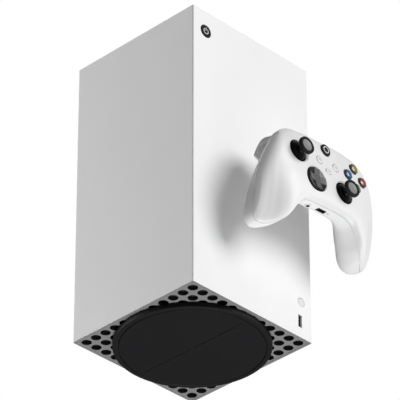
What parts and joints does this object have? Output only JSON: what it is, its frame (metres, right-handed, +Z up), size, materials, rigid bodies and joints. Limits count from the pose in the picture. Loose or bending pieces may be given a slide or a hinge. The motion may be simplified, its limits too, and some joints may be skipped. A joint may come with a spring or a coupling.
{
  "type": "game console with controller",
  "caption": "Square tower game console with perforated base and dished perforated top, and a two-grip wireless controller with sticks, pad, triggers and buttons held in front of it.",
  "frame": {"origin": "centre of the round foot's underside, on the surface that the console stands on", "axes": "+Z up along the tower, -Y out of the front face towards the controller, +X to the right seen from the front"},
  "size_m": [0.1911, 0.2234, 0.301],
  "materials": {
    "shell_white": "satin",
    "grille_white": "satin",
    "controller_white": "satin",
    "gloss_white": "glossy",
    "black_matte": "matte",
    "black_gloss": "glossy",
    "black_rubber": "matte",
    "stick_grey": "satin",
    "socket_steel": "satin",
    "chassis_metal": "satin",
    "board_green": "satin",
    "silicone_grey": "satin",
    "screw_steel": "satin",
    "cell_jacket": "glossy",
    "button_green": "glossy",
    "button_red": "glossy",
    "button_blue": "glossy",
    "button_yellow": "glossy"
  },
  "bodies": {
    "console": {"outer_shell": "shell_white", "bottom_grille": "grille_white", "top_grille": "grille_white", "foot_disc": "black_matte", "foot_pad": "black_rubber", "rear_panel": "shell_white", "hdmi_socket": "socket_steel", "ethernet_socket": "black_matte", "storage_slot": "socket_steel", "power_inlet": "black_matte", "rear_usb_sockets": "socket_steel", "front_usb_socket": "socket_steel", "side_feet": "black_rubber", "center_chassis": "chassis_metal", "main_board": "board_green", "southbridge_board": "board_green", "ssd_module": "board_green", "heat_sink": "chassis_metal", "power_supply": "black_matte", "fan_frame": "black_matte", "console_screws": "screw_steel"},
    "controller": {"front_shell": "controller_white", "rear_shell": "controller_white", "bumper_bridge": "gloss_white", "controller_board": "board_green", "battery_cells": "cell_jacket", "rumble_motors": "screw_steel", "trigger_pins": "screw_steel", "left_stick_module": "black_matte", "right_stick_module": "black_matte", "button_mat": "silicone_grey", "usb_c_socket": "socket_steel", "headset_jack": "black_matte", "expansion_port": "black_matte", "shell_screws": "screw_steel"},
    "power_button": {"power_button": "black_gloss"},
    "pair_button": {"pair_button": "gloss_white"},
    "fan_rotor": {"fan_rotor": "black_matte"},
    "battery_door": {"battery_door": "controller_white"},
    "left_bumper": {"left_bumper": "gloss_white"},
    "right_bumper": {"right_bumper": "gloss_white"},
    "left_trigger": {"left_trigger": "controller_white"},
    "right_trigger": {"right_trigger": "controller_white"},
    "left_stick_rocker": {"left_stick_rocker": "silicone_grey"},
    "right_stick_rocker": {"right_stick_rocker": "silicone_grey"},
    "left_stick_shaft": {"left_stick_shaft": "black_matte"},
    "right_stick_shaft": {"right_stick_shaft": "black_matte"},
    "left_stick_cap": {"left_stick_cap": "stick_grey"},
    "right_stick_cap": {"right_stick_cap": "stick_grey"},
    "dpad_plate": {"dpad_plate": "black_matte"},
    "dpad_disc": {"dpad_disc": "black_gloss"},
    "face_button_bottom": {"face_button_bottom": "button_green"},
    "face_button_right": {"face_button_right": "button_red"},
    "face_button_left": {"face_button_left": "button_blue"},
    "face_button_top": {"face_button_top": "button_yellow"},
    "view_button": {"view_button": "gloss_white"},
    "menu_button": {"menu_button": "gloss_white"},
    "share_button": {"share_button": "gloss_white"},
    "guide_button": {"guide_button": "black_gloss"},
    "sync_button": {"sync_button": "gloss_white"}
  },
  "joints": [
    {"name": "controller_lift", "type": "slide", "parent": "console", "child": "controller", "axis": [0, -1, 0], "range_m": [0, 0.15]},
    {"name": "power_button_press", "type": "slide", "parent": "console", "child": "power_button", "axis": [0, 1, 0], "range_m": [0, 0.0008], "stiffness_N_per_m": 800, "springref_m": -0.0005},
    {"name": "pair_button_press", "type": "slide", "parent": "console", "child": "pair_button", "axis": [0, 1, 0], "range_m": [0, 0.0006], "stiffness_N_per_m": 800, "springref_m": -0.0005},
    {"name": "fan_spin", "type": "hinge", "parent": "console", "child": "fan_rotor", "pos_m": [0, 0, 0.27], "axis": [0, 0, 1], "continuous": true},
    {"name": "left_trigger_pull", "type": "hinge", "parent": "controller", "child": "left_trigger", "pos_m": [-0.01104, -0.11835, 0.15271], "axis": [-0.9971, -0.0244, -0.0715], "range_deg": [0, 14], "stiffness_Nm_per_rad": 0.15, "springref_deg": -11.46},
    {"name": "left_bumper_press", "type": "hinge", "parent": "controller", "child": "left_bumper", "pos_m": [0.00996, -0.12318, 0.16573], "axis": [0.0182, -0.9962, 0.0852], "range_deg": [0, 1.2], "stiffness_Nm_per_rad": 3, "springref_deg": -1.15},
    {"name": "right_trigger_pull", "type": "hinge", "parent": "controller", "child": "right_trigger", "pos_m": [0.0812, -0.1161, 0.15932], "axis": [-0.9971, -0.0244, -0.0715], "range_deg": [0, 14], "stiffness_Nm_per_rad": 0.15, "springref_deg": -11.46},
    {"name": "right_bumper_press", "type": "hinge", "parent": "controller", "child": "right_bumper", "pos_m": [0.05882, -0.12198, 0.16923], "axis": [-0.0182, 0.9962, -0.0852], "range_deg": [0, 1.2], "stiffness_Nm_per_rad": 3, "springref_deg": -1.15},
    {"name": "left_stick_pitch", "type": "hinge", "parent": "controller", "child": "left_stick_rocker", "pos_m": [-0.00214, -0.12867, 0.14749], "axis": [0.9971, 0.0244, 0.0715], "range_deg": [-16, 16], "stiffness_Nm_per_rad": 0.12},
    {"name": "left_stick_roll", "type": "hinge", "parent": "left_stick_rocker", "child": "left_stick_shaft", "pos_m": [-0.00214, -0.12867, 0.14749], "axis": [-0.0733, 0.0837, 0.9938], "range_deg": [-16, 16], "stiffness_Nm_per_rad": 0.12},
    {"name": "left_stick_click", "type": "slide", "parent": "left_stick_shaft", "child": "left_stick_cap", "axis": [-0.0182, 0.9962, -0.0852], "range_m": [0, 0.0005], "stiffness_N_per_m": 1500, "springref_m": -0.0005},
    {"name": "right_stick_pitch", "type": "hinge", "parent": "controller", "child": "right_stick_rocker", "pos_m": [0.05611, -0.12925, 0.12829], "axis": [0.9971, 0.0244, 0.0715], "range_deg": [-16, 16], "stiffness_Nm_per_rad": 0.12},
    {"name": "right_stick_roll", "type": "hinge", "parent": "right_stick_rocker", "child": "right_stick_shaft", "pos_m": [0.05611, -0.12925, 0.12829], "axis": [-0.0733, 0.0837, 0.9938], "range_deg": [-16, 16], "stiffness_Nm_per_rad": 0.12},
    {"name": "right_stick_click", "type": "slide", "parent": "right_stick_shaft", "child": "right_stick_cap", "axis": [-0.0182, 0.9962, -0.0852], "range_m": [0, 0.0005], "stiffness_N_per_m": 1500, "springref_m": -0.0005},
    {"name": "dpad_pitch", "type": "hinge", "parent": "controller", "child": "dpad_plate", "pos_m": [0.01885, -0.13156, 0.12574], "axis": [0.9971, 0.0244, 0.0715], "range_deg": [-4, 4], "stiffness_Nm_per_rad": 0.4},
    {"name": "dpad_roll", "type": "hinge", "parent": "dpad_plate", "child": "dpad_disc", "pos_m": [0.01885, -0.13156, 0.12574], "axis": [-0.0733, 0.0837, 0.9938], "range_deg": [-4, 4], "stiffness_Nm_per_rad": 0.4},
    {"name": "face_button_bottom_press", "type": "slide", "parent": "controller", "child": "face_button_bottom", "axis": [-0.0182, 0.9962, -0.0852], "range_m": [0, 0.0013], "stiffness_N_per_m": 400, "springref_m": -0.0008},
    {"name": "face_button_right_press", "type": "slide", "parent": "controller", "child": "face_button_right", "axis": [-0.0182, 0.9962, -0.0852], "range_m": [0, 0.0013], "stiffness_N_per_m": 400, "springref_m": -0.0008},
    {"name": "face_button_left_press", "type": "slide", "parent": "controller", "child": "face_button_left", "axis": [-0.0182, 0.9962, -0.0852], "range_m": [0, 0.0013], "stiffness_N_per_m": 400, "springref_m": -0.0008},
    {"name": "face_button_top_press", "type": "slide", "parent": "controller", "child": "face_button_top", "axis": [-0.0182, 0.9962, -0.0852], "range_m": [0, 0.0013], "stiffness_N_per_m": 400, "springref_m": -0.0008},
    {"name": "view_button_press", "type": "slide", "parent": "controller", "child": "view_button", "axis": [-0.0182, 0.9962, -0.0852], "range_m": [0, 0.0006], "stiffness_N_per_m": 600, "springref_m": -0.0006},
    {"name": "menu_button_press", "type": "slide", "parent": "controller", "child": "menu_button", "axis": [-0.0182, 0.9962, -0.0852], "range_m": [0, 0.0006], "stiffness_N_per_m": 600, "springref_m": -0.0006},
    {"name": "share_button_press", "type": "slide", "parent": "controller", "child": "share_button", "axis": [-0.0182, 0.9962, -0.0852], "range_m": [0, 0.0006], "stiffness_N_per_m": 600, "springref_m": -0.0006},
    {"name": "guide_button_press", "type": "slide", "parent": "controller", "child": "guide_button", "axis": [-0.0182, 0.9962, -0.0852], "range_m": [0, 0.0006], "stiffness_N_per_m": 600, "springref_m": -0.0006},
    {"name": "sync_button_press", "type": "slide", "parent": "controller", "child": "sync_button", "axis": [0.0733, -0.0837, -0.9938], "range_m": [0, 0.0005], "stiffness_N_per_m": 600, "springref_m": -0.0006},
    {"name": "battery_door_release", "type": "slide", "parent": "controller", "child": "battery_door", "axis": [-0.0182, 0.9962, -0.0852], "range_m": [0, 0.02]}
  ]
}
